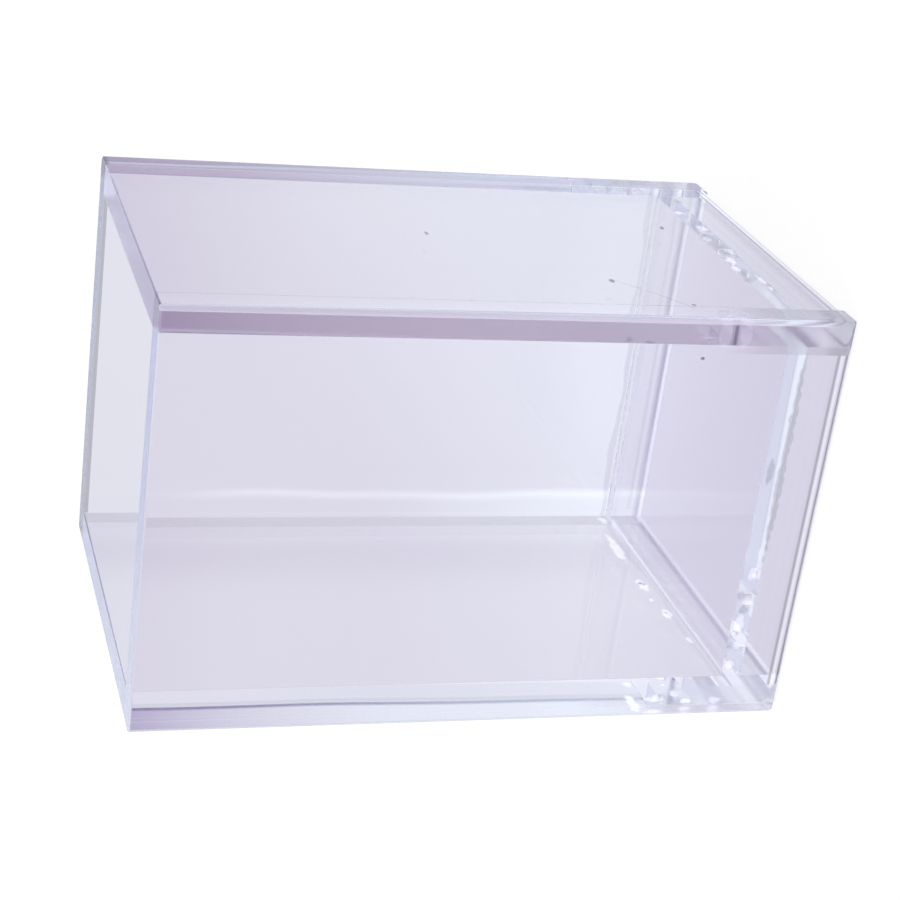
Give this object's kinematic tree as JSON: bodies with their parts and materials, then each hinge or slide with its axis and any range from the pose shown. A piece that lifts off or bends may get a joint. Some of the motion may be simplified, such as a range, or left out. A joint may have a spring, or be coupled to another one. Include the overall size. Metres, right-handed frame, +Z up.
{
  "type": "pen holder",
  "caption": "Square upright pen holder of clear acrylic sheet, open at the top, with a raised base plate let in between cemented walls.",
  "frame": {"origin": "centre of the square footprint, on the surface that the holder stands on", "axes": "+Z up towards the open mouth, +X to the right and -Y to the front, both square to the walls"},
  "size_m": [0.0644, 0.0644, 0.1],
  "materials": {
    "wall_acrylic": "water-clear acrylic sheet, polished faces and edges",
    "base_acrylic": "water-clear acrylic sheet, polished faces, cemented edges"
  },
  "bodies": {
    "root": {"front_wall": "wall_acrylic", "back_wall": "wall_acrylic", "left_wall": "wall_acrylic", "right_wall": "wall_acrylic", "base_plate": "base_acrylic"}
  },
  "joints": []
}
